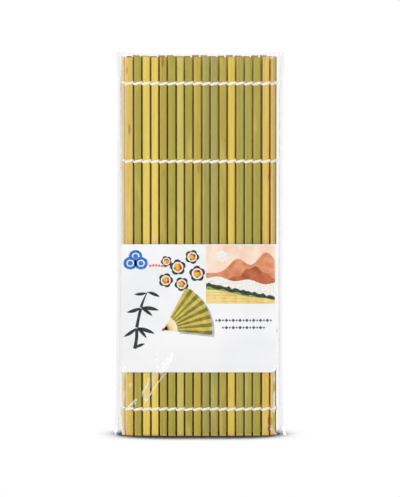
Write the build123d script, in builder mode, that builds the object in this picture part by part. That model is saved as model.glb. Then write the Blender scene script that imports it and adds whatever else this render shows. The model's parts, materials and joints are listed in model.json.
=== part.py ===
from build123d import *

import os
from math import cos, hypot, radians, sin

# Sushi rolling mat of bamboo slats and cotton twine, rolled up flat, in its film bag with a paper card.
# Millimetres. The slats stand along +Z on their lower ends, the front of the flat roll faces -Y.
# The mat starts at its outer end, at the left of the front layer, runs to the right, turns back
# behind itself, turns forward again at the left and ends in a short inner layer.

# Slats
slat_length = 240.0
slat_width = 4.4
slat_thickness = 1.6
slat_bevel = 0.3
width_scatter = 0.12
length_scatter = 0.7
WIDTH_WAVE = 2.4
LENGTH_WAVE = 1.7

# Twine
slat_gap = 0.95
strand_thickness = 0.6
strand_width = 1.3
strand_clearance = 0.15
lane_clearance = 0.15
row_from_end = 17.0
row_spacing = 49.0
lane_change_margin = 0.5

# Knots that finish each row at both ends of the mat
knot_radius = 0.95
knot_length = 2.8
knot_bevel = 0.35
knot_clearance = 0.1
knot_sides = 8

# How the mat lies: slats in each flat layer, how much a layer bows, and the headings in its turns
front_count = 15
back_count = 16
inner_count = 6
bow_per_slat = 0.4
end_headings = (-74.0, -20.0)
right_headings = (14.0, 54.0, 94.0, 136.0)
left_headings = (244.0, 304.0)
HALF_TURN = 180.0
FULL_TURN = 360.0
sharp_bend = 5.0

# Paper card in front of the mat
card_width = 98.3
card_height = 81.2
card_thickness = 0.3
card_corner = 3.0
card_base = 40.5
card_left_overhang = 0.5
card_clearance = 0.2

# Film bag, open at its lower end
film = 0.15
film_clearance = 0.3
bag_left_margin = 4.0
bag_right_margin = 5.0
bag_head_margin = 2.4
bag_hem_lift = 0.3
seam_width = 2.0
seam_thickness = 0.5
bag_shoulder = 6.0

os.makedirs("parts", exist_ok=True)


def layer(middle, count):
    """Headings of a flat layer, which bows a little about its middle heading."""
    return [middle + bow_per_slat * (n - (count - 1) / 2) for n in range(count)]


headings = [
    *end_headings,
    *layer(0, front_count),
    *right_headings,
    *layer(HALF_TURN, back_count),
    *left_headings,
    *layer(FULL_TURN, inner_count),
]
slat_count = len(headings)
slat_names = [f"slat_{n + 1:02d}" for n in range(slat_count)]

# Split bamboo is uneven, so widths and lengths wander from slat to slat in steady waves
widths = [slat_width + width_scatter * sin(WIDTH_WAVE * n) for n in range(slat_count)]
lengths = [slat_length - length_scatter * (1 + sin(LENGTH_WAVE * n)) / 2 for n in range(slat_count)]
pitches = [width + slat_gap for width in widths]


def along(n):
    """Direction from one slat's left edge to its right edge."""
    return cos(radians(headings[n])), sin(radians(headings[n]))


def outward(n):
    """Direction out of the face that is outside when the mat is rolled."""
    return sin(radians(headings[n])), -cos(radians(headings[n]))


def walk():
    """Points where the inner face meets the middle of each gap, from the middle of the front layer."""
    middle = len(end_headings) + front_count // 2
    points = {middle: (-pitches[middle] / 2, 0.0)}
    for n in range(middle, slat_count):
        x, y = points[n]
        points[n + 1] = x + pitches[n] * along(n)[0], y + pitches[n] * along(n)[1]
    for n in range(middle - 1, -1, -1):
        x, y = points[n + 1]
        points[n] = x - pitches[n] * along(n)[0], y - pitches[n] * along(n)[1]
    return points


gap_points = walk()


def spot(n, across, height):
    """Plan position on slat n: a distance from its left gap's middle, and a height over its inner face."""
    x, y = gap_points[n]
    return (
        x + across * along(n)[0] + height * outward(n)[0],
        y + across * along(n)[1] + height * outward(n)[1],
    )


# Room that the mat takes, with its twine
strand_reach = strand_clearance + strand_thickness
strand_front = slat_thickness + strand_clearance + strand_thickness / 2
strand_back = -(strand_clearance + strand_thickness / 2)
corners = [
    spot(n, across, height)
    for n in range(slat_count)
    for across in (slat_gap / 2, pitches[n] - slat_gap / 2)
    for height in (0, slat_thickness)
]
mat_left = min(x for x, y in corners)
mat_right = max(x for x, y in corners)
mat_front = min(y for x, y in corners) - strand_reach
mat_back = max(y for x, y in corners) + strand_reach

# The card lies against the twine and the film lies over the card
card_back = mat_front - card_clearance
card_front = card_back - card_thickness
bag_left = mat_left - bag_left_margin
bag_right = mat_right + bag_right_margin
bag_front = card_front - card_clearance - film
bag_back = mat_back + film_clearance + film
bag_head = slat_length + bag_head_margin

# The part's own origin is below the middle of the bag, on the floor
origin_x = (bag_left + bag_right) / 2
origin_y = (bag_front + bag_back) / 2


def placed(point):
    """A plan position seen from the part's own origin."""
    return point[0] - origin_x, point[1] - origin_y


def save(builder, label):
    """Names a finished piece and writes it."""
    builder.part.label = label
    export_step(builder.part, f"parts/{label}.step")


# Slats
for n in range(slat_count):
    stand = Plane(origin=(*placed(gap_points[n]), 0), x_dir=(*along(n), 0), z_dir=(0, 0, 1))
    with BuildPart() as slat:
        with BuildSketch(stand):
            with Locations((slat_gap / 2, 0)):
                Rectangle(widths[n], slat_thickness, align=(Align.MIN, Align.MAX))
        extrude(amount=lengths[n])
        chamfer(slat.edges().filter_by(Axis.Z), slat_bevel)
    save(slat, slat_names[n])

# Twine: two strands to a row take turns in front of and behind the slats, and cross in every gap
row_heights = [
    row_from_end,
    row_from_end + row_spacing,
    slat_length - row_from_end - row_spacing,
    slat_length - row_from_end,
]
lane_offset = (strand_width + lane_clearance) / 2


def gap_stations(n, lane):
    """The strand's points inside the gap after slat n, from its outer to its inner side."""
    bend = headings[n + 1] - headings[n]
    middle = radians(headings[n] + bend / 2)
    depth = slat_gap / 2 * sin(radians(bend / 2)) - strand_back
    x, y = gap_points[n + 1]
    inner = (x - depth * sin(middle), y + depth * cos(middle), lane)
    return [(x, y, lane), inner] if bend > sharp_bend else [inner]


def route(first, height):
    """Points of one strand from the mat's outer end to its inner end, and where it runs level with a
    slat the direction across it; first says if it starts in front."""
    points = []
    for n in range(slat_count):
        front = (n % 2 == 0) == first
        level = strand_front if front else strand_back
        rise = lane_offset if front else -lane_offset
        start, stop = height - rise, height + rise
        inward = -outward(n)[0], -outward(n)[1]
        leave = pitches[n] - slat_gap / 2 - lane_change_margin
        if n == 0:
            points.append(((*spot(n, 0, slat_thickness / 2), start), None))
        if front or n == 0:
            points.append(((*spot(n, 0, level), start), None))
        points.append(((*spot(n, slat_gap / 2 + lane_change_margin, level), start), inward))
        points.append(((*spot(n, leave, level), stop), inward))
        if front or n == slat_count - 1:
            points.append(((*spot(n, pitches[n], level), stop), None))
        if n == slat_count - 1:
            points.append(((*spot(n, pitches[n], slat_thickness / 2), stop), None))
        else:
            stations = [(point, None) for point in gap_stations(n, stop)]
            points.extend(stations if front else reversed(stations))
    return points


def side(a, b):
    """Unit vector to the left of the way from plan point a to plan point b."""
    length = hypot(b[0] - a[0], b[1] - a[1])
    return -(b[1] - a[1]) / length, (b[0] - a[0]) / length


def mitre(points, n):
    """Direction of the joint between two runs at point n, and how much wider it is than the strand."""
    before = side(points[n - 1][0], points[n][0]) if n else side(points[0][0], points[1][0])
    after = side(points[n][0], points[n + 1][0]) if n + 1 < len(points) else before
    x, y = before[0] + after[0], before[1] + after[1]
    length = hypot(x, y)
    return (x / length, y / length), 2 / length


def rings(points):
    """Four corners of the strand's section at each point, all in one order round the strand."""
    found = []
    for n, ((x, y, z), level_cross) in enumerate(points):
        (cross_x, cross_y), widening = (level_cross, 1) if level_cross else mitre(points, n)
        half = strand_thickness * widening / 2
        found.append([
            Vector(*placed((x + turn * half * cross_x, y + turn * half * cross_y)), z + rise * strand_width / 2)
            for turn, rise in ((-1, -1), (1, -1), (1, 1), (-1, 1))
        ])
    return found


def skin(found):
    """Flat faces between each ring and the next, and one over each end."""
    sides = [
        [one[k], one[(k + 1) % 4], other[(k + 1) % 4], other[k]]
        for one, other in zip(found, found[1:])
        for k in range(4)
    ]
    return [Face(Wire.make_polygon(corners)) for corners in (found[0], *sides, found[-1])]


for row, height in enumerate(row_heights, start=1):
    for letter, first in (("a", True), ("b", False)):
        points = route(first, height)
        with BuildPart() as strand:
            add(Solid(Shell(skin(rings(points)))))
        save(strand, f"twine_{row}{letter}")
        run = sum(hypot(b[0] - a[0], b[1] - a[1]) for (a, _), (b, _) in zip(points, points[1:]))
        print(f"twine_{row}{letter}: {run:.0f} long in plan, volume {strand.part.volume:.1f},"
              f" section times length {run * strand_thickness * strand_width:.1f}")

# Knots: one at each end of each row, just outside the end slat's edge
knot_offset = strand_thickness / 2 + knot_clearance + knot_radius
for label, n, across in (
    ("outer_knots", 0, -knot_offset),
    ("inner_knots", slat_count - 1, pitches[-1] + knot_offset),
):
    centre = placed(spot(n, across, slat_thickness / 2))
    with BuildPart() as knots:
        for height in row_heights:
            foot = Plane(
                origin=(*centre, height - knot_length / 2),
                x_dir=(*along(n), 0),
                z_dir=(0, 0, 1),
            )
            with BuildSketch(foot):
                RegularPolygon(knot_radius, knot_sides, major_radius=False)
            extrude(amount=knot_length)
        ends = knots.faces().filter_by(Axis.Z)
        chamfer(ends.edges(), knot_bevel)
    save(knots, label)

# Card
card_left = mat_left - card_left_overhang
with BuildPart() as card:
    back_of_card = Plane(
        origin=(*placed((card_left, card_back)), card_base),
        x_dir=(1, 0, 0),
        z_dir=(0, -1, 0),
    )
    with BuildSketch(back_of_card):
        Rectangle(card_width, card_height, align=(Align.MIN, Align.MIN))
    extrude(amount=card_thickness)
    lower_right = card.edges().filter_by(Axis.Y).sort_by(Axis.Z)[:2].sort_by(Axis.X)[-1]
    fillet(lower_right, card_corner)
save(card, "card")

# Bag: a flattened tube with a flat seam down each side, closed over the tops of the slats
seam_middle = (mat_front + mat_back) / 2


def bag_outline(inset):
    """Plan outline of the bag's wall, drawn in by an inset, from the left seam round the front."""
    left = bag_left + seam_width
    right = bag_right - seam_width
    front = bag_front + inset
    back = bag_back - inset
    half_seam = seam_thickness / 2 - inset
    shoulder = mat_left + bag_shoulder
    far_shoulder = mat_right - bag_shoulder
    return [
        (left, seam_middle + half_seam),
        (left, seam_middle - half_seam),
        (mat_left - bag_left_margin / 2 + inset, front + bag_shoulder),
        (card_left - card_clearance - film + inset, front),
        (card_left + card_width + card_clearance + film - inset, front),
        (mat_right + bag_right_margin / 2 - inset, front + bag_shoulder),
        (right, seam_middle - half_seam),
        (right, seam_middle + half_seam),
        (mat_right + bag_right_margin / 2 - inset, back - bag_shoulder),
        (far_shoulder, back),
        (shoulder, back),
        (mat_left - bag_left_margin / 2 + inset, back - bag_shoulder),
    ]


with BuildPart() as bag:
    with BuildSketch(Plane.XY.offset(bag_hem_lift)):
        with BuildLine():
            Polyline([placed(point) for point in bag_outline(0)], close=True)
        make_face()
        with Locations(placed((bag_left, seam_middle)), placed((bag_right - seam_width, seam_middle))):
            Rectangle(seam_width, seam_thickness, align=(Align.MIN, Align.CENTER))
    extrude(amount=bag_head - bag_hem_lift)
    with BuildSketch(Plane.XY.offset(bag_hem_lift)):
        with BuildLine():
            Polyline([placed(point) for point in bag_outline(film)], close=True)
        make_face()
    extrude(amount=bag_head - bag_hem_lift - film, mode=Mode.SUBTRACT)
save(bag, "bag")

print(f"mat {mat_right - mat_left:.1f} wide, opened out {sum(pitches) - slat_gap:.1f}")
print(f"origin at {origin_x:.3f}, {origin_y:.3f} from the middle of the front layer")
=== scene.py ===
import json
import math

import bpy
import numpy as np
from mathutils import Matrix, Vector, noise


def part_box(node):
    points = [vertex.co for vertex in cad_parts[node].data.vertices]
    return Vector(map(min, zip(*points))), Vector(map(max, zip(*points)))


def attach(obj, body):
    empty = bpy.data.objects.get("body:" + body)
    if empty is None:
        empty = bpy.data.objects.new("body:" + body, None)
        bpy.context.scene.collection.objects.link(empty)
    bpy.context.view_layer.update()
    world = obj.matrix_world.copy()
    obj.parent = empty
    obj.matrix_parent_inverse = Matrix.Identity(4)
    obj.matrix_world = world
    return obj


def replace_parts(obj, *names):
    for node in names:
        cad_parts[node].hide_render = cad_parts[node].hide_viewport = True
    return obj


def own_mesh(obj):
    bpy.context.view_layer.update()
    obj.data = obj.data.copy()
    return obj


# Sushi rolling mat, rolled up flat, in its film bag with a paper card.
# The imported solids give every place; lengths named here are in millimetres.
MM = 0.001
UP = np.array([0.0, 0.0, 1.0])

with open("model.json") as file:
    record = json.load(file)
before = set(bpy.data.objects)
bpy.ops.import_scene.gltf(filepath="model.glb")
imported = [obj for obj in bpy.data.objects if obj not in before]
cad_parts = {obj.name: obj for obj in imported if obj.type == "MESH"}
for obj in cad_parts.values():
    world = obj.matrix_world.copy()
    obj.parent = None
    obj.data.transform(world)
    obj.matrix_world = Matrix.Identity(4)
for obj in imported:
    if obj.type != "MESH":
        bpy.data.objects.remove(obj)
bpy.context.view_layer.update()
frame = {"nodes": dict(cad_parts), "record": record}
body_of_node = {
    node: body for body, members in frame["record"]["behaviour"]["bodies"].items() for node in members
}


def low_high(name):
    """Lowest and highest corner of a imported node, in millimetres."""
    low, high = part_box(name)
    return np.array(low) / MM, np.array(high) / MM


# ---------------------------------------------------------------- slats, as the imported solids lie

SLAT_COUNT = 45
SLAT_LENGTH = 240.0
SLAT_GAP = 0.95


class Slat:
    """A slat's own directions and sizes in millimetres: across it, out of its outer face, and up."""

    def __init__(self, number):
        self.name = f"slat_{number:02d}"
        self.body = body_of_node[self.name]
        mesh = frame["nodes"][self.name].data
        points = np.array([vertex.co for vertex in mesh.vertices]) / MM
        plan = points[:, :2]
        self.length = points[:, 2].max()
        self.along = np.linalg.eigh(np.cov((plan - plan.mean(0)).T))[1][:, -1]
        self.centre = plan.mean(0)
        self.measure(plan)

    def measure(self, plan):
        """Sizes across and through the slat, and its middle."""
        self.outward = np.array([self.along[1], -self.along[0]])
        across, through = plan @ self.along, plan @ self.outward
        self.width, self.thickness = np.ptp(across), np.ptp(through)
        self.centre = (
            (across.max() + across.min()) / 2 * self.along + (through.max() + through.min()) / 2 * self.outward
        )

    def face_towards(self, direction):
        """Makes the way across point from the mat's outer end to its inner end."""
        if self.along @ direction < 0:
            self.along, self.outward = -self.along, -self.outward

    @property
    def pitch(self):
        """From the middle of the slat's left gap to the middle of its right gap."""
        return self.width + SLAT_GAP

    def spot(self, across, height, z):
        """A point: across from the middle of the left gap, height over the inner face, z over the floor."""
        plan = (
            self.centre
            + (across - self.pitch / 2) * self.along
            + (height - self.thickness / 2) * self.outward
        )
        return np.array([plan[0], plan[1], z])


slats = [Slat(number) for number in range(1, SLAT_COUNT + 1)]
for slat, following in zip(slats, slats[1:]):
    slat.face_towards(following.centre - slat.centre)
slats[-1].face_towards(slats[-1].centre - slats[-2].centre)


# ---------------------------------------------------------------- material helpers

def srgb(red, green, blue):
    """Linear colour from the 0 to 255 values of a screen colour."""
    def linear(value):
        share = value / 255
        return share / 12.92 if share <= 0.04045 else ((share + 0.055) / 1.055) ** 2.4

    return (linear(red), linear(green), linear(blue), 1.0)


class Tree:
    """A material's node tree, with short calls for the nodes used here."""

    def __init__(self, name):
        self.material = bpy.data.materials.new(name)
        self.material.use_nodes = True
        self.tree = self.material.node_tree
        self.shader = self.tree.nodes["Principled BSDF"]
        self.output = self.tree.nodes["Material Output"]

    def add(self, kind, inputs=None, **settings):
        """A node with its settings and inputs; an input is a constant or another node's output."""
        made = self.tree.nodes.new(kind)
        for key, value in settings.items():
            setattr(made, key, value)
        for key, value in (inputs or {}).items():
            self.feed(made.inputs[key], value)
        return made

    def feed(self, socket, value):
        """Links another node's output to the socket, or sets a constant on it."""
        if isinstance(value, bpy.types.NodeSocket):
            self.tree.links.new(value, socket)
        else:
            socket.default_value = value

    def maths(self, operation, *values, clamp=False):
        """A sum on numbers."""
        inputs = dict(enumerate(values))
        return self.add("ShaderNodeMath", inputs, operation=operation, use_clamp=clamp).outputs[0]

    def vector(self, operation, *values):
        """A sum on vectors; a dot product gives a number."""
        made = self.add("ShaderNodeVectorMath", dict(enumerate(values)), operation=operation)
        return made.outputs["Value" if operation == "DOT_PRODUCT" else "Vector"]

    def combine(self, x, y, z):
        """A vector from three numbers."""
        return self.add("ShaderNodeCombineXYZ", {0: x, 1: y, 2: z}).outputs[0]

    def step(self, value, low, high, to_low=0.0, to_high=1.0):
        """Smooth change from to_low at low to to_high at high."""
        inputs = {0: value, 1: low, 2: high, 3: to_low, 4: to_high}
        return self.add("ShaderNodeMapRange", inputs, interpolation_type="SMOOTHSTEP").outputs[0]

    def noise(self, vector, detail=3.0, roughness=0.55, distortion=0.0):
        """Noise from 0 to 1 over a vector already in the pattern's own scale."""
        inputs = {"Vector": vector, "Scale": 1.0, "Detail": detail,
                  "Roughness": roughness, "Distortion": distortion}
        return self.add("ShaderNodeTexNoise", inputs).outputs["Fac"]

    def mix(self, factor, first, second):
        """The first colour where factor is 0 and the second where it is 1."""
        made = self.add("ShaderNodeMix", data_type="RGBA")
        for index, value in ((0, factor), (6, first), (7, second)):
            self.feed(made.inputs[index], value)
        return made.outputs[2]

    def bump(self, height, strength, distance):
        """A surface normal with relief up to the distance, in metres."""
        inputs = {"Height": height, "Strength": strength, "Distance": distance}
        return self.add("ShaderNodeBump", inputs).outputs["Normal"]

    def millimetres(self):
        """Place on the object at rest, in millimetres."""
        place = self.add("ShaderNodeTexCoord").outputs["Object"]
        made = self.add("ShaderNodeVectorMath", {0: place}, operation="SCALE")
        made.inputs["Scale"].default_value = 1 / MM
        return made.outputs["Vector"]

    def set(self, **values):
        """Sets inputs of the Principled shader by name, with _ for a space."""
        for key, value in values.items():
            self.feed(self.shader.inputs[key.replace("_", " ")], value)


# ---------------------------------------------------------------- bamboo

TONES = {
    "ochre": (srgb(224, 199, 91), srgb(207, 175, 63)),
    "olive": (srgb(180, 169, 71), srgb(161, 150, 53)),
    "pale": (srgb(240, 214, 104), srgb(222, 196, 83)),
    "leaf": (srgb(181, 172, 83), srgb(163, 154, 61)),
    "lime": (srgb(212, 199, 104), srgb(192, 179, 82)),
    "moss": (srgb(184, 169, 69), srgb(164, 150, 49)),
    "gold": (srgb(235, 207, 90), srgb(216, 184, 65)),
    "tan": (srgb(234, 201, 98), srgb(215, 175, 73)),
    "sage": (srgb(175, 168, 90), srgb(156, 148, 67)),
    "honey": (srgb(202, 179, 77), srgb(181, 159, 57)),
}
OUTER_END_TONE = srgb(246, 232, 180), srgb(234, 214, 152)

# Tones of the slats that show at the front, from the mat's outer end on
FRONT_TONES = (
    "tan ochre olive pale pale moss olive lime olive honey sage sage moss gold leaf leaf olive tan lime"
).split()
# The third colour here is painted shade: the dark brown of slat sides and edge rims that lie in the gaps between
# slats
PEACH, ORANGE, PAINTED_SHADE_WOOD = srgb(242, 202, 140), srgb(222, 160, 72), srgb(40, 25, 7)
EDGE_YELLOW, CREAM, PALE_SIDE = srgb(236, 210, 108), srgb(192, 168, 110), srgb(250, 230, 184)
CUT_YELLOW, BROWN, SPOT_BROWN = srgb(232, 190, 84), srgb(140, 96, 42), srgb(150, 112, 44)
LIGHT_ORANGE = srgb(240, 196, 104)

# Marks on single slats: slat number, height, place across, half length, half width, colour, strength
MARKS = (
    (2, 231.0, -1.2, 3.0, 0.6, SPOT_BROWN, 0.7),
    (2, 194.0, 0.4, 4.0, 0.7, BROWN, 0.75),
    (5, 124.0, -0.6, 4.5, 1.6, PEACH, 0.9),
    (6, 236.5, -0.3, 4.5, 1.0, SPOT_BROWN, 0.85),
    (6, 166.0, 0.3, 3.0, 0.9, SPOT_BROWN, 0.4),
    (10, 170.0, 0.9, 5.0, 1.1, SPOT_BROWN, 0.55),
    (18, 149.0, 0.0, 17.0, 1.5, LIGHT_ORANGE, 0.7),
    (18, 12.0, 0.0, 9.0, 1.8, LIGHT_ORANGE, 0.6),
    (18, 165.5, 1.7, 6.0, 0.8, ORANGE, 0.9),
    (18, 164.0, 2.0, 2.5, 0.5, BROWN, 0.9),
    (18, 9.5, 2.0, 3.5, 0.6, BROWN, 0.95),
    (18, 4.0, 1.9, 1.6, 0.6, BROWN, 0.9),
    (19, 9.0, -1.9, 3.0, 0.7, BROWN, 0.7),
    (13, 187.0, 1.2, 0.8, 1.1, SPOT_BROWN, 0.5),
    (14, 28.0, -0.8, 5.0, 0.8, ORANGE, 0.35),
)

# Colours of the cut sides that lie open at the folds; the other sides are dark with painted shade
OPEN_SIDES = {1: (PALE_SIDE, PEACH), 2: (PALE_SIDE, PEACH), 19: (srgb(255, 218, 116), srgb(246, 194, 76))}

# How strong the painted highlight is on a slat's second and first edge, for the slats with peach edges and for the
# others
PEACH_EDGE_HIGHLIGHTS = {1: (0.9, 0.9), 2: (0.0, 0.9), 19: (0.9, 1.0)}
PLAIN_EDGE_HIGHLIGHTS = (0.2, 0.7)

# How far the painted edge highlights reach in, with the slat that stands edge on, and how far they fade
EDGE_REACH, TURNED_EDGE_REACH, EDGE_FADE = 0.65, 1.2, 0.35
TURNED_SLAT = 19

# How far apart two slats lie in the grain's noise, so that no two are alike
GRAIN_SHIFT = 7.3


def skin_tones(number):
    """Light and dark tone of a slat's skin: chosen at the front, dealt out in turn elsewhere."""
    if number == 1:
        return OUTER_END_TONE
    if number <= len(FRONT_TONES):
        return TONES[FRONT_TONES[number - 1]]
    names = list(TONES)
    return TONES[names[(number * 7 + number // 3) % len(names)]]


def with_marks(tree, skin, number, across, height, fibre):
    """The skin with the slat's own spots and knots, ragged along the fibre."""
    for owner, z, at, half_length, half_width, colour, strength in MARKS:
        if owner != number:
            continue
        along_mark = tree.maths("DIVIDE", tree.maths("SUBTRACT", height, z), half_length)
        over_mark = tree.maths("DIVIDE", tree.maths("SUBTRACT", across, at), half_width)
        squares = [tree.maths("POWER", part, 2.0) for part in (along_mark, over_mark)]
        distance = tree.maths("SQRT", tree.maths("ADD", *squares))
        ragged = tree.maths("MULTIPLY_ADD", fibre, 1.4, tree.maths("SUBTRACT", distance, 0.7))
        skin = tree.mix(tree.step(ragged, 1.1, 0.5, 0.0, strength), skin, colour)
    return skin


def bamboo(slat, number):
    """Split bamboo: a green or yellow skin, peach sides or dark sides of painted shade, a pale inner face, fibre
    along its length.
    """
    light, dark = skin_tones(number)
    half_width, half_thick = slat.width / 2, slat.thickness / 2
    tree = Tree(f"bamboo_{number:02d}")
    place = tree.millimetres()
    across = tree.maths(
        "SUBTRACT", tree.vector("DOT_PRODUCT", place, (*slat.along, 0.0)), float(slat.centre @ slat.along)
    )
    through = tree.maths(
        "SUBTRACT", tree.vector("DOT_PRODUCT", place, (*slat.outward, 0.0)), float(slat.centre @ slat.outward)
    )
    height = tree.add("ShaderNodeSeparateXYZ", {0: place}).outputs[2]
    seed = GRAIN_SHIFT * number

    def grain(across_scale, length_scale, detail=3.0):
        """Noise drawn out along the slat."""
        return tree.noise(
            tree.combine(
                tree.maths("MULTIPLY_ADD", across, across_scale, seed),
                tree.maths("MULTIPLY", through, across_scale),
                tree.maths("MULTIPLY_ADD", height, length_scale, seed),
            ),
            detail,
        )

    # The skin, streaked along the fibre
    broad, fibre, fine = grain(0.9, 0.012), grain(2.6, 0.02), grain(8.0, 0.05, 2.0)
    drift = grain(0.12, 0.022, 2.0)
    skin = tree.mix(tree.step(broad, 0.3, 0.7), light, dark)
    skin = tree.mix(tree.step(fibre, 0.35, 0.75, 0.0, 0.45), skin, light)
    skin = tree.mix(tree.step(fine, 0.5, 0.8, 0.0, 0.3), skin, dark)
    skin = tree.mix(tree.step(drift, 0.52, 0.75, 0.0, 0.5), skin, EDGE_YELLOW)

    # Yellow along the edges, partly the bevel's own colour and partly painted highlight, bright along the first edge;
    # painted shade makes the skin darker towards the second
    reach = tree.maths("ABSOLUTE", across)
    wobble = tree.maths("MULTIPLY_ADD", broad, 0.5, -0.25)
    edge_line = half_width - (TURNED_EDGE_REACH if number == TURNED_SLAT else EDGE_REACH)
    edge = tree.step(tree.maths("ADD", reach, wobble), edge_line, edge_line + EDGE_FADE)
    share = tree.step(across, 0.5, -0.5, *PEACH_EDGE_HIGHLIGHTS.get(number, PLAIN_EDGE_HIGHLIGHTS))
    edge_highlight_colour = PEACH if number in PEACH_EDGE_HIGHLIGHTS else EDGE_YELLOW
    skin = tree.mix(tree.maths("MULTIPLY", edge, share), skin, edge_highlight_colour)
    skin = tree.mix(tree.step(across, half_width - 2.0, half_width - 0.5, 0.0, 0.4), skin, dark)
    skin = with_marks(tree, skin, number, across, height, fibre)

    # Cut sides, the inner face and the sawn ends; sides that face into the gaps get painted shade in dark brown
    if number in OPEN_SIDES:
        side_wood = tree.mix(tree.step(fibre, 0.3, 0.7), *OPEN_SIDES[number])
    else:
        side_wood = PAINTED_SHADE_WOOD
    # Painted shade: a dark rim along both edges of the skin, for the shade in the gaps between slats
    if number not in PEACH_EDGE_HIGHLIGHTS:
        skin = tree.mix(tree.step(reach, half_width - 0.15, half_width - 0.03, 0.0, 0.85), skin, PAINTED_SHADE_WOOD)
    wood = tree.mix(tree.step(reach, half_width - 0.08, half_width - 0.02), skin, side_wood)
    inner_wood = tree.mix(tree.step(fibre, 0.3, 0.75, 0.0, 0.6), CREAM, PEACH)
    wood = tree.mix(tree.step(through, 0.2 - half_thick, 0.05 - half_thick), wood, inner_wood)
    end_wobble = tree.maths("MULTIPLY_ADD", fibre, 1.6, -0.8)
    wood = tree.mix(tree.step(tree.maths("ADD", height, end_wobble), 1.5, 0.4, 0.0, 0.75), wood, CUT_YELLOW)
    rim = tree.maths("MINIMUM", height, tree.maths("SUBTRACT", slat.length, height))
    wood = tree.mix(tree.step(rim, 0.35, 0.05, 0.0, 0.55), wood, SPOT_BROWN)

    relief = tree.maths("MULTIPLY_ADD", fine, 0.4, tree.maths("MULTIPLY", fibre, 0.8))
    tree.set(
        Base_Color=wood,
        Roughness=tree.step(fibre, 0.3, 0.8, 0.42, 0.6),
        Specular_IOR_Level=0.35,
        Normal=tree.bump(relief, 0.45, 0.12 * MM),
    )
    return tree.material


for number, slat in enumerate(slats, start=1):
    node = frame["nodes"][slat.name]
    node.data.materials.clear()
    node.data.materials.append(bamboo(slat, number))


# ---------------------------------------------------------------- cotton twine

def cotton():
    """Off-white cotton yarn with a fibrous surface."""
    tree = Tree("cotton")
    place = tree.millimetres()
    fluff = tree.noise(tree.vector("MULTIPLY", place, (5.0, 5.0, 5.0)), 4.0, 0.7)
    patch = tree.noise(tree.vector("MULTIPLY", place, (0.5, 0.5, 0.5)), 2.0)
    colour = tree.mix(tree.step(fluff, 0.3, 0.7), srgb(255, 253, 244), srgb(254, 243, 224))
    colour = tree.mix(tree.step(patch, 0.5, 0.8, 0.0, 0.3), colour, srgb(250, 232, 208))
    tree.set(
        Base_Color=colour,
        Roughness=0.9,
        Specular_IOR_Level=0.15,
        Sheen_Weight=0.5,
        Sheen_Roughness=0.5,
        Normal=tree.bump(fluff, 0.6, 0.15 * MM),
    )
    return tree.material


COTTON = cotton()

# Rows of twining: their places, and how far a strand's lane lies above or below its row
ROW_FROM_END = 17.0
ROW_SPACING = 49.0
LANE = 0.5

# Yarn: half sizes, how much it swells over a slat, and its twisted plies
HALF_THICK = 0.4
HALF_WIDE = 0.6
SWELL = 0.42
PLIES = 3
PLY_DEPTH = 0.09
PLY_TURN = 2.6

# Points round a yarn, and steps between two of a stitch's control points
AROUND = 14
SPAN_STEPS = 3

slat_front, slat_top = low_high("slat_10")[0][1], low_high("slat_10")[1][2]
row_heights = [ROW_FROM_END, ROW_FROM_END + ROW_SPACING]
row_heights += [SLAT_LENGTH - height for height in reversed(row_heights)]


def curve_through(points, steps):
    """Catmull-Rom points through the given ones."""
    points = np.array(points, float)
    padded = np.vstack([2 * points[0] - points[1], points, 2 * points[-1] - points[-2]])
    found = []
    for a, b, c, d in zip(padded, padded[1:], padded[2:], padded[3:]):
        for step in range(steps):
            t = step / steps
            square, cube = 2 * a - 5 * b + 4 * c - d, 3 * b - a - 3 * c + d
            found.append(0.5 * (2 * b + (c - a) * t + square * t * t + cube * t ** 3))
    return np.array([*found, points[-1]])


class Yarn:
    """Collects tubes with twisted plies into one mesh."""

    def __init__(self):
        self.points, self.faces = [], []

    def tube(self, path, half_wide, half_thick, wide=UP, phase=0.0, taper=0.0, swell=0.0):
        """A yarn along path, flattened square to the wide direction, with rounded ends; it may taper
        towards its end or swell in its middle."""
        tangents = np.gradient(path, axis=0)
        tangents /= np.linalg.norm(tangents, axis=1)[:, None]
        gone = np.concatenate([[0], np.cumsum(np.linalg.norm(np.diff(path, axis=0), axis=1))])
        stations = list(zip(path, tangents, gone, [1.0] * len(path)))
        caps = [(math.sin(a), math.cos(a)) for a in (math.pi / 6, math.pi / 3, math.pi * 0.46)]
        head = [(path[0] - tangents[0] * s * half_thick, tangents[0], 0.0, c) for s, c in reversed(caps)]
        tail = [(path[-1] + tangents[-1] * s * half_thick, tangents[-1], gone[-1], c) for s, c in caps]
        first = len(self.points)
        rings = [*head, *stations, *tail]
        for point, tangent, run, size in rings:
            broad = wide - tangent * (wide @ tangent)
            broad = broad / np.linalg.norm(broad)
            thin = np.cross(tangent, broad)
            share = run / gone[-1]
            shrink = size * (1 - taper * share)
            broad = broad * (1 + swell * math.sin(math.pi * share) ** 2)
            for k in range(AROUND):
                angle = 2 * math.pi * k / AROUND
                twist = 2 * math.pi * run / (PLIES * PLY_TURN)
                ply = 1 + PLY_DEPTH * math.cos(PLIES * (angle - twist) + phase)
                self.points.append(
                    point + shrink * ply * (math.cos(angle) * half_wide * broad + math.sin(angle) * half_thick * thin)
                )
        for ring in range(len(rings) - 1):
            for k in range(AROUND):
                a, b = first + ring * AROUND + k, first + ring * AROUND + (k + 1) % AROUND
                self.faces.append((a, b, b + AROUND, a + AROUND))
        last = first + (len(rings) - 1) * AROUND
        self.faces.append(tuple(range(first + AROUND - 1, first - 1, -1)))
        self.faces.append(tuple(range(last, last + AROUND)))

    def build(self, name, body):
        """The collected tubes as one object that rides on a body."""
        made = mesh_object(name, self.points, self.faces, [COTTON])
        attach(made, body)
        return made


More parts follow.
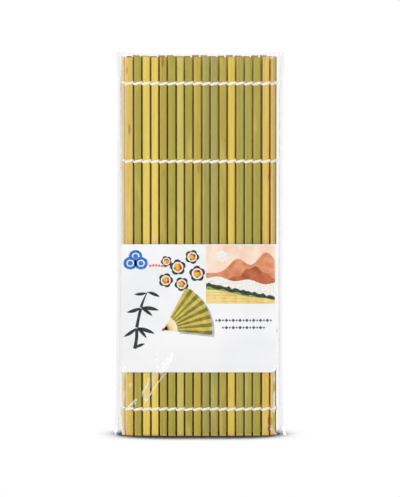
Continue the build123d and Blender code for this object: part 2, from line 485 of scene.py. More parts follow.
def mesh_object(name, points, faces, materials, smooth=True):
    """A mesh object from points in millimetres."""
    mesh = bpy.data.meshes.new(name)
    mesh.from_pydata([tuple(float(value) * MM for value in point) for point in points], [], faces)
    for material in materials:
        mesh.materials.append(material)
    if smooth:
        mesh.polygons.foreach_set("use_smooth", [True] * len(mesh.polygons))
    mesh.update()
    made = bpy.data.objects.new(name, mesh)
    bpy.context.scene.collection.objects.link(made)
    return made


def stitch_path(slat, level, row, front):
    """One strand's way from the middle of the left gap, over or behind the slat, to the right gap."""
    rise = LANE if front else -LANE
    p, top = slat.pitch, slat.thickness

    wander = 0.1 * math.sin(3.1 * level * 0.37 + 2.3 * row + (1.0 if front else 2.0))

    # Half the way: across from the gap, height over the slat's inner face, and share of the lane
    if front:
        half = [
            (0, 0, -1), (0.0, 0.8, -1), (0.12, top - 0.08, -0.98),
            (0.6, top + 0.4, -0.86), (p * 0.3, top + 0.45, -0.45),
        ]
        middle = (p / 2, top + 0.46 + wander * 0.3, 0)
    else:
        half = [
            (0, 0, -1), (0.02, -0.12, -1), (0.25, -0.34, -0.95),
            (0.75, -0.44, -0.8), (p * 0.33, -0.45, -0.4),
        ]
        middle = (p / 2, -0.46, 0)
    other = [(p - across, height, -lane) for across, height, lane in reversed(half)]
    controls = [
        slat.spot(across, height, row + rise * lane + (wander if 0 < across < p else 0))
        for across, height, lane in [*half, middle, *other]
    ]
    return curve_through(controls, SPAN_STEPS)


by_body = {}
for index, slat in enumerate(slats):
    yarn = by_body.setdefault(slat.body, Yarn())
    for row_number, row in enumerate(row_heights):
        for front in (True, False):
            path = stitch_path(slat, index, row, front)
            yarn.tube(path, HALF_WIDE, HALF_THICK, phase=0.7 * index + row_number, swell=SWELL)

# Knots: both strands of a row tied together at each end of the mat, with two short tails
KNOT_OFFSET = 1.35
KNOT_LOOP = 0.62
KNOT_HALF_LENGTH = 1.05
KNOT_STEPS = 48
TAIL_LENGTH = 5.0

# Half width and half thickness of the yarn in a knot, on its way to the knot and in its tails
KNOT_YARN = (0.4, 0.34)
LEAD_YARN = (0.5, 0.38)
TAIL_YARN = (0.42, 0.36)


def knot(yarn, slat, side, row, seed):
    """A tight overhand knot beside the end slat, its two strands and its tails."""
    across = -KNOT_OFFSET if side < 0 else slat.pitch + KNOT_OFFSET
    centre = slat.spot(across, slat.thickness / 2, row)
    x_way, y_way = np.array([*slat.along, 0.0]), np.array([*slat.outward, 0.0])
    path = []
    for step in range(KNOT_STEPS):
        t = 2 * math.pi * step / KNOT_STEPS
        ring = KNOT_LOOP * (0.62 + 0.38 * math.cos(3 * t))
        path.append(
            centre
            + x_way * ring * math.cos(2 * t + seed)
            + y_way * ring * math.sin(2 * t + seed)
            + UP * KNOT_HALF_LENGTH * 0.62 * math.sin(3 * t)
        )
    yarn.tube(np.array(path), *KNOT_YARN, wide=x_way + 0.3 * y_way)

    # The row's two strands come in from the gap, and two tails hang down
    gap = 0.0 if side < 0 else slat.pitch
    for lane in (LANE, -LANE):
        start = slat.spot(gap, 0.0, row + lane)
        middle = slat.spot(gap + side * 0.45, slat.thickness / 2, row + lane * 0.8)
        yarn.tube(curve_through([start, middle, centre + UP * lane * 0.4], 5), *LEAD_YARN)
    for lean in (0.35, -0.3):
        tail = [
            centre - UP * 0.6,
            centre - UP * 1.9 + y_way * lean * 0.7 + x_way * side * 0.1,
            centre - UP * (TAIL_LENGTH * 0.7) + y_way * lean * 1.2,
            centre - UP * TAIL_LENGTH + y_way * lean * 1.6 + x_way * side * 0.15 * math.sin(seed),
        ]
        yarn.tube(curve_through(tail, 5), *TAIL_YARN, wide=y_way, taper=0.35)


for label, slat, side in (("outer_knots", slats[0], -1), ("inner_knots", slats[-1], 1)):
    knots = Yarn()
    for row_number, row in enumerate(row_heights):
        knot(knots, slat, side, row, 1.3 * row_number)
    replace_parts(knots.build(f"tied_{label}", slat.body), label)

stitched = {body: yarn.build(f"stitches_{body}", body) for body, yarn in by_body.items()}
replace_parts(stitched["front_layer"], *[f"twine_{row}{letter}" for row in range(1, 5) for letter in "ab"])


# ---------------------------------------------------------------- paper card and its print

def paper():
    """Coated white card with a faint shading and fibre."""
    tree = Tree("card_paper")
    place = tree.millimetres()
    cloud = tree.noise(tree.vector("MULTIPLY", place, (0.018, 0.0, 0.022)), 2.0)
    fibre = tree.noise(tree.vector("MULTIPLY", place, (3.0, 3.0, 3.0)), 4.0)
    colour = tree.mix(tree.step(cloud, 0.35, 0.65), srgb(249, 249, 249), srgb(240, 241, 241))
    colour = tree.mix(tree.step(fibre, 0.4, 0.8, 0.0, 0.1), colour, srgb(224, 224, 225))
    tree.set(
        Base_Color=colour,
        Roughness=0.45,
        Specular_IOR_Level=0.4,
        Normal=tree.bump(fibre, 0.08, 0.05 * MM),
    )
    return tree.material


card_node = frame["nodes"]["card"]
card_node.data.materials.clear()
card_node.data.materials.append(paper())


def ink(name, light, dark, scale=0.8):
    """Printing ink whose tone drifts and whose dots show up close."""
    tree = Tree(f"ink_{name}")
    place = tree.millimetres()
    drift = tree.noise(tree.vector("MULTIPLY", place, (scale, scale, scale)), 3.0)
    dots = tree.noise(tree.vector("MULTIPLY", place, (7.0, 7.0, 7.0)), 1.0)
    colour = tree.mix(tree.step(drift, 0.35, 0.65), light, dark)
    colour = tree.mix(tree.step(dots, 0.55, 0.75, 0.0, 0.12), colour, srgb(250, 250, 250))
    tree.set(Base_Color=colour, Roughness=0.4, Specular_IOR_Level=0.4)
    return tree.material


INKS = {
    "blue": ink("blue", srgb(44, 138, 216), srgb(14, 84, 182)),
    "orange": ink("orange", srgb(244, 140, 50), srgb(232, 92, 34)),
    "black": ink("black", srgb(34, 34, 34), srgb(10, 10, 10)),
    "white": ink("white", srgb(250, 248, 242), srgb(232, 230, 220)),
    "night": ink("night", srgb(44, 54, 40), srgb(20, 28, 20)),
    "yellow": ink("yellow", srgb(250, 200, 50), srgb(244, 160, 40)),
    "red": ink("red", srgb(190, 50, 30), srgb(120, 24, 20)),
    "green": ink("green", srgb(140, 190, 60), srgb(84, 140, 40)),
    "skin": ink("skin", srgb(236, 168, 122), srgb(206, 122, 78), 0.12),
    "clay": ink("clay", srgb(196, 106, 62), srgb(160, 76, 44), 0.15),
    "wood": ink("wood", srgb(246, 220, 150), srgb(232, 198, 112), 0.15),
    "peach": ink("peach", srgb(252, 232, 212), srgb(244, 208, 180), 0.08),
    "olive": ink("olive", srgb(150, 140, 34), srgb(112, 104, 20), 0.3),
    "straw": ink("straw", srgb(216, 198, 92), srgb(196, 174, 66), 0.3),
    "shade": ink("shade", srgb(200, 201, 205), srgb(168, 169, 174), 0.2),
    "slate": ink("slate", srgb(84, 84, 88), srgb(54, 54, 58)),
}
INK_ORDER = list(INKS)

# The lowest ink's height over the card's face, and the step from one layer of ink to the next
INK_BASE = 0.014
INK_STEP = 0.007

# Steps along a brush stroke, and places across a band
STROKE_STEPS = 12
BAND_PLACES = 25

card_low = low_high("card")[0]


class Print:
    """Flat printed shapes on the card's face, in millimetres from its lower left corner."""

    def __init__(self):
        self.points, self.faces, self.inks = [], [], []

    def shape(self, colour, layer, outline):
        """A filled outline, turned to face the front."""
        area = sum(a[0] * b[1] - b[0] * a[1] for a, b in zip(outline, [*outline[1:], outline[0]]))
        outline = outline if area > 0 else outline[::-1]
        first = len(self.points)
        depth = card_low[1] - INK_BASE - layer * INK_STEP
        self.points += [(card_low[0] + x, depth, card_low[2] + z) for x, z in outline]
        self.faces.append(tuple(range(first, len(self.points))))
        self.inks.append(INK_ORDER.index(colour))

    def disc(self, colour, layer, x, z, radius, flat=1.0, count=28):
        """A round spot, or an oval one that is flat."""
        turns = [2 * math.pi * k / count for k in range(count)]
        self.shape(colour, layer, [(x + radius * math.cos(a), z + radius * flat * math.sin(a)) for a in turns])

    def stroke(self, colour, layer, start, bend, stop, widths):
        """A brush stroke along a quadratic curve, its widths at the start, the middle and the end."""
        left, right = [], []
        for k in range(STROKE_STEPS + 1):
            t = k / STROKE_STEPS
            x = (1 - t) ** 2 * start[0] + 2 * t * (1 - t) * bend[0] + t * t * stop[0]
            z = (1 - t) ** 2 * start[1] + 2 * t * (1 - t) * bend[1] + t * t * stop[1]
            dx = 2 * (1 - t) * (bend[0] - start[0]) + 2 * t * (stop[0] - bend[0])
            dz = 2 * (1 - t) * (bend[1] - start[1]) + 2 * t * (stop[1] - bend[1])
            size = math.hypot(dx, dz)
            half = ((1 - t) ** 2 * widths[0] + 2 * t * (1 - t) * widths[1] + t * t * widths[2]) / 2
            left.append((x - dz / size * half, z + dx / size * half))
            right.append((x + dz / size * half, z - dx / size * half))
        self.shape(colour, layer, [*left, *right[::-1]])

    def leaf(self, colour, layer, x, z, length, width, heading):
        """A pointed leaf from its stalk on, with its heading in degrees."""
        a = math.radians(heading)
        stop = (x + length * math.cos(a), z + length * math.sin(a))
        bend = (x + length * 0.5 * math.cos(a + 0.16), z + length * 0.5 * math.sin(a + 0.16))
        self.stroke(colour, layer, (x, z), bend, stop, (0.15, width * 2, 0.05))

    def band(self, colour, layer, left, right, bottom, edge):
        """Everything from the bottom up to an edge, a height for each place across."""
        places = [left + (right - left) * k / (BAND_PLACES - 1) for k in range(BAND_PLACES)]
        self.shape(colour, layer, [(right, bottom), *[(x, edge(x)) for x in reversed(places)], (left, bottom)])


art = Print()

# Three wave scales with a string of beads
for x, z, layer in ((9.6, 73.6, 1), (6.2, 69.2, 6), (13.0, 69.2, 6)):
    for step, (colour, radius) in enumerate((("blue", 4.3), ("white", 2.4), ("blue", 1.6))):
        art.disc(colour, layer + step, x, z, radius, flat=0.92)
for bead in range(6):
    art.disc("orange", 1, 18.8 + 1.9 * bead, 67.6 + 0.3 * math.sin(bead), 0.8)

# Ink sprig of bamboo
art.stroke("black", 1, (9.0, 15.0), (10.6, 22.0), (10.2, 27.6), (2.3, 1.6, 2.3))
art.stroke("black", 1, (10.3, 28.6), (11.4, 35.0), (12.8, 40.4), (2.1, 1.4, 2.0))
art.stroke("black", 1, (13.0, 41.4), (14.4, 46.0), (17.0, 51.0), (1.8, 1.2, 0.4))
for x, z, length, width, heading in (
    (10.2, 28.2, 12.0, 2.4, -18), (10.2, 28.2, 10.0, 2.1, 214), (10.4, 28.4, 9.0, 2.0, -48),
    (12.9, 41.0, 11.5, 2.4, -8), (12.9, 41.0, 9.5, 2.2, 198), (12.9, 41.0, 9.0, 2.0, -36),
    (17.0, 51.0, 8.5, 2.0, -22), (16.6, 50.4, 8.0, 1.9, 186), (9.0, 15.4, 7.0, 1.8, 24),
):
    art.leaf("black", 2, x, z, length, width, heading)

# Blossoms strewn along an arc
for turn, (x, z, size) in enumerate(
    ((28.6, 58.4, 4.7), (36.2, 66.6, 5.2), (38.6, 56.0, 4.6), (45.2, 73.2, 4.6), (48.4, 62.6, 5.2), (29.0, 70.4, 3.6))
):
    for petal in range(5):
        a = math.radians(72 * petal + 23 * turn)
        art.disc("night", 1 + petal % 2, x + 0.52 * size * math.cos(a), z + 0.52 * size * math.sin(a), size * 0.46)
    art.disc("white", 3, x, z, size * 0.66)
    for petal in range(5):
        a = math.radians(72 * petal + 36 + 23 * turn)
        colour = ("orange", "yellow", "green", "orange", "red")[petal]
        art.disc(colour, 4 + petal % 2, x + 0.27 * size * math.cos(a), z + 0.27 * size * math.sin(a), size * 0.25)
    art.disc("yellow", 6, x, z, size * 0.22)

# Landscape in the upper right corner
LEFT, RIGHT, FOOT, HEAD = 54.0, 97.4, 43.6, 80.6
art.shape("peach", 0, [(LEFT, FOOT), (RIGHT, FOOT), (RIGHT, HEAD), (LEFT, HEAD)])
art.disc("white", 1, 64.0, 73.6, 3.6)


def hill(x, middle, spread):
    """Height of a rounded hill, from 0 to 1."""
    return math.exp(-((x - middle) / spread) ** 2)


for layer, (colour, edge) in enumerate(
    (
        ("skin", lambda x: 63.0 + 9.0 * hill(x, 74, 7) + 13.0 * hill(x, 92, 8)),
        ("clay", lambda x: 59.5 + 7.5 * hill(x, 84, 8) + 0.8 * math.sin(x * 0.9)),
        ("white", lambda x: 60.6 - 0.1 * (x - LEFT) + 1.0 * math.sin(x * 0.33)),
        ("night", lambda x: 56.8 - 0.2 * (x - LEFT) + 0.9 * math.sin(x * 1.9) * math.sin(x * 0.43)),
        ("green", lambda x: 54.4 - 0.2 * (x - LEFT) + 0.5 * math.sin(x * 0.7)),
        ("wood", lambda x: 53.0 - 0.17 * (x - LEFT) + 0.4 * math.sin(x * 0.22)),
    ),
    start=2,
):
    art.band(colour, layer, LEFT, RIGHT, FOOT, edge)
for furrow in range(4):
    z = 45.0 + 1.9 * furrow
    stop = RIGHT - 4.0 - 7.0 * furrow
    art.stroke("straw", 8, (LEFT + 1.0, z), ((LEFT + stop) / 2, z + 0.7), (stop, z - 1.0), (0.1, 0.5, 0.1))

# Half-open fan with its shadow
FAN_X, FAN_Z, FAN_INNER, FAN_OUTER, FOLDS = 27.0, 27.0, 9.0, 31.0, 14
FAN_FROM, FAN_TO = math.radians(-6), math.radians(62)


def fan_point(radius, share, shift=0.0):
    """A point at a radius and a share of the fan's opening; the shadow's are shifted."""
    a = FAN_FROM + (FAN_TO - FAN_FROM) * share
    return FAN_X + shift + radius * math.cos(a), FAN_Z - shift + radius * math.sin(a)


art.shape(
    "shade", 0,
    [fan_point(FAN_INNER, k / FOLDS, 1.3) for k in range(FOLDS + 1)]
    + [fan_point(FAN_OUTER, k / FOLDS, 1.3) for k in range(FOLDS, -1, -1)],
)
for fold in range(FOLDS):
    a, b = fold / FOLDS, (fold + 1) / FOLDS
    outer = FAN_OUTER - 0.5 * (fold % 2)
    art.shape(
        "straw" if fold % 2 else "olive", 1,
        [fan_point(FAN_INNER, a), fan_point(outer, a), fan_point(outer, b), fan_point(FAN_INNER, b)],
    )
    art.stroke("wood", 2, fan_point(0, a), fan_point(5, a), fan_point(FAN_INNER, a), (0.5, 0.35, 0.3))
art.disc("clay", 3, FAN_X, FAN_Z, 0.9)

# Two rules of small lozenges
LOZENGE_PITCH = 2.15
for count, middle, z in ((17, 77.6, 33.0), (13, 77.6, 28.4)):
    for place in range(count):
        x = middle + (place - (count - 1) / 2) * LOZENGE_PITCH
        size = 1.15 if place % 2 else 0.75
        art.shape("slate", 1, [(x - size, z), (x, z - size), (x + size, z), (x, z + size)])

card_print = mesh_object("card_print", art.points, art.faces, list(INKS.values()), smooth=False)
for polygon, index in zip(card_print.data.polygons, art.inks):
    polygon.material_index = index
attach(card_print, "wrapper")


# ---------------------------------------------------------------- film bag

bag_low, bag_high = low_high("bag")
BAG_WIDTH = bag_high[0] - bag_low[0]

# Flat seam at each side: its width, half the space between its two sheets, and how far its foot swings forward
FIN = 2.0
FIN_GAP = 0.08
FOOT_FORWARD = 13.0

# Rounded side from the seam to the full depth: its width, the shape of its curve and its steps
SHOULDER = 1.6
SQUARENESS = 3.4
SHOULDER_STEPS = 11

# Closed head: how far below the top it starts to fold over, how far it sags in the middle, and its steps
HEAD_DROP = 1.8
HEAD_START = bag_high[2] - HEAD_DROP
HEAD_SAG = 1.6
HEAD_STEPS = 14

# Spacing of the film's points: across, up, and where the creases are, which is below and left of these
COLUMN = 1.0
ROW_STEP = 1.25
FINE = 0.4
CREASED_WIDTH = 38.0
CREASED_HEIGHT = 58.0

# Unevenness: ripples over the front and back, swing of the seams, wave of the hem, height over which the foot
# comes back from its swing, and the lowest that a point may lie
RIPPLE = 0.22
SEAM_SWING = 0.35
HEM_WAVE = 0.25
FOOT_REACH = 6.0
LOWEST = 0.05

# How the bag's edges draw in: height over the floor, and how far the left and the right edge come in
DRAWN_IN = (
    (0.0, -0.5, -0.9), (8.0, 0.0, 0.2), (18.0, 0.3, 0.9), (60.0, 0.7, 1.3), (90.0, 1.2, 1.4),
    (180.0, 1.4, 1.3), (200.0, 1.9, 1.3), (226.0, 1.8, 1.1), (236.0, 1.1, 0.3), (243.0, 0.8, 0.0),
)

# Creases in the film: from and to, across from the bag's left edge and over the floor, width, height, whiteness,
# which is partly whitened film and partly painted highlight
CREASES = (
    (36.1, 52.4, 32.3, 44.2, 1.1, 0.05, 0.50),
    (34.8, 50.0, 29.1, 41.1, 2.2, 0.05, 0.42),
    (32.3, 45.5, 26.0, 39.2, 1.8, 0.05, 0.24),
    (26.6, 54.0, 26.0, 44.2, 0.9, 0.05, 0.30),
    (26.3, 44.3, 28.5, 41.1, 0.9, 0.05, 0.22),
    (32.6, 40.8, 27.2, 34.1, 0.45, 0.25, 0.65),
    (27.2, 34.1, 22.2, 26.5, 0.45, 0.30, 0.80),
    (22.2, 26.5, 20.6, 23.3, 0.55, 0.25, 0.50),
    (21.5, 36.6, 19.9, 31.6, 0.45, 0.25, 0.65),
    (19.9, 31.6, 17.4, 27.8, 0.45, 0.30, 0.75),
    (17.4, 27.8, 17.1, 25.2, 0.50, 0.25, 0.60),
    (18.7, 23.6, 20.3, 22.7, 1.1, 0.30, 0.62),
    (19.0, 22.5, 19.3, 20.0, 0.8, 0.05, 0.28),
    (20.3, 32.8, 19.6, 25.2, 1.8, 0.05, 0.20),
    (24.1, 39.8, 21.5, 31.6, 2.0, 0.05, 0.16),
    (9.8, 33.2, 9.3, 31.9, 0.6, 0.25, 0.85),
    (8.5, 18.6, 13.3, 23.6, 0.5, 0.25, 0.75),
    (8.2, 18.3, 11.4, 20.8, 1.0, 0.05, 0.35),
    (13.5, 23.3, 12.6, 20.2, 0.5, 0.25, 0.60),
    (6.3, 44.9, 6.0, 37.9, 0.45, 0.25, 0.75),
    (6.3, 28.4, 4.9, 22.7, 0.5, 0.25, 0.70),
    (4.7, 21.4, 4.6, 17.6, 0.6, 0.25, 0.65),
    (4.4, 6.8, 5.0, 1.1, 0.6, 0.30, 0.70),
    (4.9, 3.7, 6.0, 1.1, 0.6, 0.25, 0.60),
    (100.6, 28.0, 100.4, 15.5, 0.7, 0.30, 0.80),
    (99.6, 44.0, 100.8, 34.0, 0.7, 0.25, 0.45),
    (98.4, 5.0, 101.6, 1.2, 0.8, 0.30, 0.50),
    (100.8, 120.0, 101.0, 84.0, 0.8, 0.20, 0.25),
    (3.6, 238.0, 8.0, 241.5, 0.8, 0.30, 0.50),
    (102.0, 241.0, 97.0, 239.0, 0.8, 0.30, 0.50),
)

# The greatest share of light that the film reflects
MOST_MIRROR = 0.16


def film():
    """Clear glossy film: see-through, greyer where it turns away, white along its creases, partly whitened film and
    partly painted highlight.
    """
    tree = Tree("clear_film")
    tree.tree.nodes.remove(tree.shader)
    place = tree.millimetres()
    ripple = tree.noise(tree.vector("MULTIPLY", place, (0.16, 0.16, 0.07)), 3.0, 0.6, 0.6)
    scuff = tree.noise(tree.vector("MULTIPLY", place, (1.6, 1.6, 0.8)), 4.0, 0.65)
    normal = tree.bump(tree.maths("MULTIPLY_ADD", scuff, 0.15, ripple), 0.35, 1.2 * MM)
    turned = tree.add("ShaderNodeLayerWeight", {"Blend": 0.35}).outputs["Facing"]
    parts = tree.add("ShaderNodeSeparateXYZ", {0: place})
    sideways = tree.maths("ABSOLUTE", parts.outputs[0])

    # Greyer where it turns away, at its seams and along its hem
    strip = tree.step(sideways, BAG_WIDTH / 2 - 5.0, BAG_WIDTH / 2 - 3.6)
    hem = tree.step(parts.outputs[2], 1.6, 0.5)
    tint = tree.mix(tree.step(turned, 0.25, 1.0), srgb(254, 254, 255), srgb(242, 242, 243))
    tint = tree.mix(tree.maths("MULTIPLY", strip, tree.step(ripple, 0.3, 0.7, 0.8, 1.0)), tint, srgb(248, 248, 249))
    tint = tree.mix(tree.maths("MULTIPLY", hem, tree.step(scuff, 0.3, 0.7, 0.3, 1.0)), tint, srgb(226, 227, 228))
    clear = tree.add("ShaderNodeBsdfTransparent", {"Color": tint}).outputs[0]
    gloss = tree.add(
        "ShaderNodeBsdfGlossy", {"Color": (1.0, 1.0, 1.0, 1.0), "Roughness": 0.09, "Normal": normal}
    ).outputs[0]
    haze = tree.add("ShaderNodeBsdfDiffuse", {"Color": srgb(252, 252, 252)}).outputs[0]

    # Half of a clear film's reflection, almost none face on and never strong
    mirror = tree.add("ShaderNodeFresnel", {"IOR": 1.5, "Normal": normal}).outputs[0]
    mirror = tree.maths("MULTIPLY_ADD", mirror, 0.5, -0.016)
    mirror = tree.maths("MAXIMUM", tree.maths("MINIMUM", mirror, MOST_MIRROR), 0.0)
    # White mixed in along the creases: partly whitened film, partly painted highlight
    crease = tree.add("ShaderNodeAttribute", attribute_name="crease").outputs["Fac"]
    white = tree.maths("MULTIPLY", crease, tree.step(scuff, 0.25, 0.6, 0.55, 1.0), clamp=True)
    shine = tree.add("ShaderNodeMixShader", {0: mirror, 1: clear, 2: gloss}).outputs[0]
    shown = tree.add("ShaderNodeMixShader", {0: white, 1: shine, 2: haze}).outputs[0]
    tree.feed(tree.output.inputs["Surface"], shown)
    return tree.material


def bag_columns(face):
    """Places across the bag: distance from its left edge, share of its half depth, and which way is out."""
    flank = [(0.0, 0.0, 1.0), (0.7, 0.0, 1.0), (1.4, 0.0, 1.0), (FIN, 0.0, 1.0)]
    for k in range(1, SHOULDER_STEPS + 1):
        a = math.pi / 2 * k / SHOULDER_STEPS
        across = FIN + SHOULDER * (1 - math.cos(a) ** (2 / SQUARENESS))
        flank.append((across, math.sin(a) ** (2 / SQUARENESS), 1 - k / SHOULDER_STEPS))
    inner = FIN + SHOULDER
    flat, across = [], inner
    while across < BAG_WIDTH - inner - COLUMN:
        across += FINE if face < 0 and across < CREASED_WIDTH else COLUMN
        flat.append((across, 1.0, 0.0))
    return [*flank, *flat, *[(BAG_WIDTH - across, depth, -side) for across, depth, side in reversed(flank)]]


def bag_rows(face):
    """Heights up the bag with the share of its depth that is left: whole, until the head folds over."""
    z = bag_low[2]
    rows = [(z, 1.0)]
    while z < HEAD_START - ROW_STEP:
        z += FINE if face < 0 and z < CREASED_HEIGHT else ROW_STEP
        rows.append((z, 1.0))
    rows.append((HEAD_START, 1.0))
    for k in range(1, HEAD_STEPS + 1):
        a = math.pi / 2 * k / HEAD_STEPS
        rows.append((HEAD_START + HEAD_DROP * math.sin(a), math.cos(a) ** 0.9 if k < HEAD_STEPS else 0.0))
    return rows


def crease_at(across, z):
    """How far the film stands out and how white it is at a place on its front; the white is partly whitened film and
    partly painted highlight.
    """
    out, white = 0.0, 0.0
    for x0, z0, x1, z1, width, height, whiteness in CREASES:
        reach = 2.5 * width
        if not (min(x0, x1) - reach < across < max(x0, x1) + reach and min(z0, z1) - reach < z < max(z0, z1) + reach):
            continue
        dx, dz = x1 - x0, z1 - z0
        run = ((across - x0) * dx + (z - z0) * dz) / (dx * dx + dz * dz)
        beyond = max(0.0, -run, run - 1) * math.hypot(dx, dz)
        nearest = min(max(run, 0.0), 1.0)
        distance = math.hypot(across - x0 - nearest * dx, z - z0 - nearest * dz)
        swell = math.exp(-((distance / width) ** 2) - (beyond / width) ** 2)
        out += height * swell
        white += whiteness * swell ** 1.6
    return out, white


def drawn_in(z, across):
    """How far the bag is narrowed at a place, from the edge of its own side towards its middle."""
    heights, left, right = zip(*DRAWN_IN)
    if across < BAG_WIDTH / 2:
        return float(np.interp(z, heights, left))
    return -float(np.interp(z, heights, right))


def bag_sheet(face, points, whiteness):
    """The front (-1) or back (1) sheet of the bag, as rows of point numbers."""
    middle = (bag_low[1] + bag_high[1]) / 2
    reach = (bag_high[1] - bag_low[1]) / 2
    columns = bag_columns(face)
    grid = []
    for z, kept in bag_rows(face):
        line = []
        for across, depth, side in columns:
            wall = abs(side) * (1.0 if depth > 0 else 0.3)
            off_middle = 2 * across / BAG_WIDTH - 1
            seed = Vector((across * 0.35, z * 0.11, 3.0 * face))
            soft = noise.noise(seed) + 0.5 * noise.noise(seed * 2.7)
            wrinkle = noise.noise(Vector((across * 0.25, z * 0.42, 9.0 * face))) ** 2

            # Sideways: the wrinkled walls stand out a little, and the whole is drawn in
            outside = (0.7 * wrinkle + 0.25 * abs(soft)) * wall
            x = bag_low[0] + across - math.copysign(outside, side) * (1 if side else 0)
            x += drawn_in(z, across) * min(1.0, 1.6 * abs(side))

            # Forward and back: the depth with its creases, and the waving seams
            out, white = crease_at(across, z) if face < 0 else (0.0, 0.0)
            out += (1 - abs(side)) * RIPPLE * abs(soft)
            y = middle + face * (FIN_GAP + (reach - FIN_GAP) * depth * kept + out * kept)
            y += SEAM_SWING * soft * (1 - depth) * (1.0 if across < BAG_WIDTH / 2 else -1.0)
            y -= FOOT_FORWARD * (1 - depth) * math.exp(-z / FOOT_REACH)

            # Up: the wavy hem and the sagging head
            wave = HEM_WAVE * noise.noise(Vector((across * 0.12, face * 5.0, 0.0))) if z < 1.0 else 0.0
            sag = HEAD_SAG * (1 - off_middle ** 4) * min(1.0, max(0.0, (z - HEAD_START) / HEAD_DROP))
            line.append(len(points))
            points.append((x, y, max(LOWEST, z + wave - sag)))

            # White where the film is folded, partly whitened film and partly painted highlight: the side walls, the
            # head's seam and the foot
            strip = 0.6 * max(0.0, noise.noise(Vector((across * 1.1, z * 0.16, 20.0 + face))) - 0.1) * wall
            seam = 0.2 * (1 - kept) ** 4 + (0.15 if kept < 1 else 0.0) * abs(off_middle)
            foot = max(0.0, noise.noise(Vector((across * 0.8, z * 0.5, 31.0)))) * wall * math.exp(-z / 14.0)
            whiteness.append(min(1.0, white + strip + seam + 1.2 * foot))
        grid.append(line)
    return grid


bag_points, bag_whitening_and_highlight, bag_faces = [], [], []
for face in (-1, 1):
    grid = bag_sheet(face, bag_points, bag_whitening_and_highlight)
    for lower, upper in zip(grid, grid[1:]):
        for k in range(len(lower) - 1):
            quad = (lower[k], lower[k + 1], upper[k + 1], upper[k])
            bag_faces.append(quad if face < 0 else quad[::-1])
bag = mesh_object("film_bag", bag_points, bag_faces, [film()])
# The crease attribute holds the film's white, partly whitened film and partly painted highlight
attribute = bag.data.attributes.new("crease", "FLOAT", "POINT")
attribute.data.foreach_set("value", np.array(bag_whitening_and_highlight, np.float32))
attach(bag, "wrapper")
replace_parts(bag, "bag")
bag.visible_shadow = False
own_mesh(bag)


# ---------------------------------------------------------------- floor, light and camera

# Contact shadow: how far it reaches, the openness between which it fades, and its tone
SHADOW_REACH = 34.0
SHADOW_FADE = (0.73, 0.945)
CONTACT_GREY = srgb(84, 84, 86)
FLOOR_SIZE = 4000.0


def floor_material():
    """White floor that is dark close under the object and plain white further off."""
    tree = Tree("floor_white")
    place = tree.millimetres()
    grain = tree.noise(tree.vector("MULTIPLY", place, (0.05, 0.05, 0.05)), 2.0)
    pale = tree.mix(grain, srgb(246, 246, 247), srgb(243, 243, 244))
    cover = tree.add("ShaderNodeAmbientOcclusion", {"Distance": SHADOW_REACH * MM}, samples=16).outputs["AO"]
    open_sky = tree.step(cover, *SHADOW_FADE)
    path = tree.add("ShaderNodeLightPath")
    seen = tree.maths("MAXIMUM", path.outputs["Is Camera Ray"], path.outputs["Is Glossy Ray"])
    seen = tree.maths("MAXIMUM", seen, path.outputs["Is Transmission Ray"])
    colour = tree.mix(tree.maths("MULTIPLY", seen, tree.maths("SUBTRACT", 1.0, open_sky)), pale, CONTACT_GREY)
    tree.set(Base_Color=colour, Roughness=0.9, Specular_IOR_Level=0.0)
    plain = tree.add("ShaderNodeEmission", {"Color": (1.0, 1.0, 1.0, 1.0), "Strength": 1.0}).outputs[0]
    fade = tree.maths("MULTIPLY", open_sky, seen)
    shown = tree.add("ShaderNodeMixShader", {0: fade, 1: tree.shader.outputs[0], 2: plain}).outputs[0]
    tree.feed(tree.output.inputs["Surface"], shown)
    return tree.material


half_floor = FLOOR_SIZE / 2
floor = mesh_object(
    "floor",
    [(x * half_floor, y * half_floor, 0) for x, y in ((-1, -1), (1, -1), (1, 1), (-1, 1))],
    [(0, 1, 2, 3)],
    [floor_material()],
    smooth=False,
)

# The surroundings are white to the camera and lend the object only this share of light
WORLD_LIGHT = 0.2
world = bpy.data.worlds.new("studio")
bpy.context.scene.world = world
world.use_nodes = True
sky = world.node_tree
backdrop = sky.nodes["Background"]
backdrop.inputs["Color"].default_value = (1.0, 1.0, 1.0, 1.0)
light_path = sky.nodes.new("ShaderNodeLightPath")
seen = light_path.outputs["Is Camera Ray"]
for output in ("Is Glossy Ray", "Is Transmission Ray"):
    either = sky.nodes.new("ShaderNodeMath")
    either.operation = "MAXIMUM"
    sky.links.new(seen, either.inputs[0])
    sky.links.new(light_path.outputs[output], either.inputs[1])
    seen = either.outputs[0]
level = sky.nodes.new("ShaderNodeMapRange")
level.inputs["To Min"].default_value = WORLD_LIGHT
level.inputs["To Max"].default_value = 1.0
sky.links.new(seen, level.inputs["Value"])
sky.links.new(level.outputs[0], backdrop.inputs["Strength"])


def softbox(name, place, aim, size, power):
    """A square area lamp that looks at a point."""
    lamp = bpy.data.lights.new(name, "AREA")
    lamp.size, lamp.energy = size, power
    made = bpy.data.objects.new(name, lamp)
    bpy.context.scene.collection.objects.link(made)
    made.location = place
    made.rotation_euler = (Vector(aim) - Vector(place)).to_track_quat("-Z", "Y").to_euler()


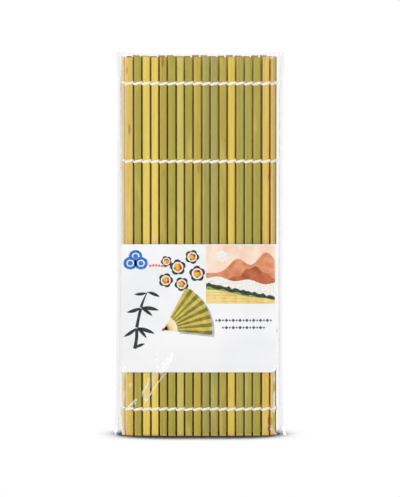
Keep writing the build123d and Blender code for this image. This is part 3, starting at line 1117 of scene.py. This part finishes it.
# Lamps: place and aim in metres, size in metres and power in watts
softbox("key", (-1.15, -1.25, 0.4), (0, 0, 0.12), 0.7, 12.6)
softbox("fill", (1.15, -1.25, 0.4), (0, 0, 0.12), 0.8, 8.8)
softbox("top", (0.0, 0.12, 1.0), (0, 0, 0.0), 0.45, 5.5)
softbox("back", (0.5, 1.3, 0.55), (0, 0, 0.12), 0.8, 8.0)

# The mat fills this much of the photograph's 400 by 497 pixels
PHOTO_WIDTH, PHOTO_HEIGHT = 400, 497
MAT_LEFT_PX, MAT_RIGHT_PX = 121.8, 276.2
MAT_TOP_PX, MAT_BOTTOM_PX = 57.2, 435.8
CAMERA_ELEVATION = math.radians(5)
CAMERA_DISTANCE = 3.0
SENSOR = 36.0

mat_left = min(low_high(slat.name)[0][0] for slat in slats)
mat_right = max(low_high(slat.name)[1][0] for slat in slats)
target = Vector(((mat_left + mat_right) / 2, slat_front, slat_top / 2)) * MM
backward = Vector((0, -math.cos(CAMERA_ELEVATION), math.sin(CAMERA_ELEVATION)))

# What the mat's top and bottom stand above and below the target, as seen at the target's distance
half_height = slat_top * MM / 2
nearer = half_height * math.sin(CAMERA_ELEVATION) / CAMERA_DISTANCE
above = half_height * math.cos(CAMERA_ELEVATION) / (1 - nearer)
below = half_height * math.cos(CAMERA_ELEVATION) / (1 + nearer)
pixels_per_metre = (MAT_BOTTOM_PX - MAT_TOP_PX) / (above + below)
target_px = MAT_TOP_PX + above * pixels_per_metre

camera_data = bpy.data.cameras.new("camera")
camera_data.sensor_width = SENSOR
camera_data.lens = pixels_per_metre * CAMERA_DISTANCE * SENSOR / PHOTO_HEIGHT
camera_data.shift_x = (PHOTO_WIDTH / 2 - (MAT_LEFT_PX + MAT_RIGHT_PX) / 2) / PHOTO_HEIGHT
camera_data.shift_y = (target_px - PHOTO_HEIGHT / 2) / PHOTO_HEIGHT
camera_data.clip_start, camera_data.clip_end = 0.05, 50.0
camera = bpy.data.objects.new("camera", camera_data)
bpy.context.scene.collection.objects.link(camera)
camera.location = target + backward * CAMERA_DISTANCE
camera.rotation_euler = (-backward).to_track_quat("-Z", "Y").to_euler()
bpy.context.scene.camera = camera
bpy.context.scene.view_settings.view_transform = "Standard"
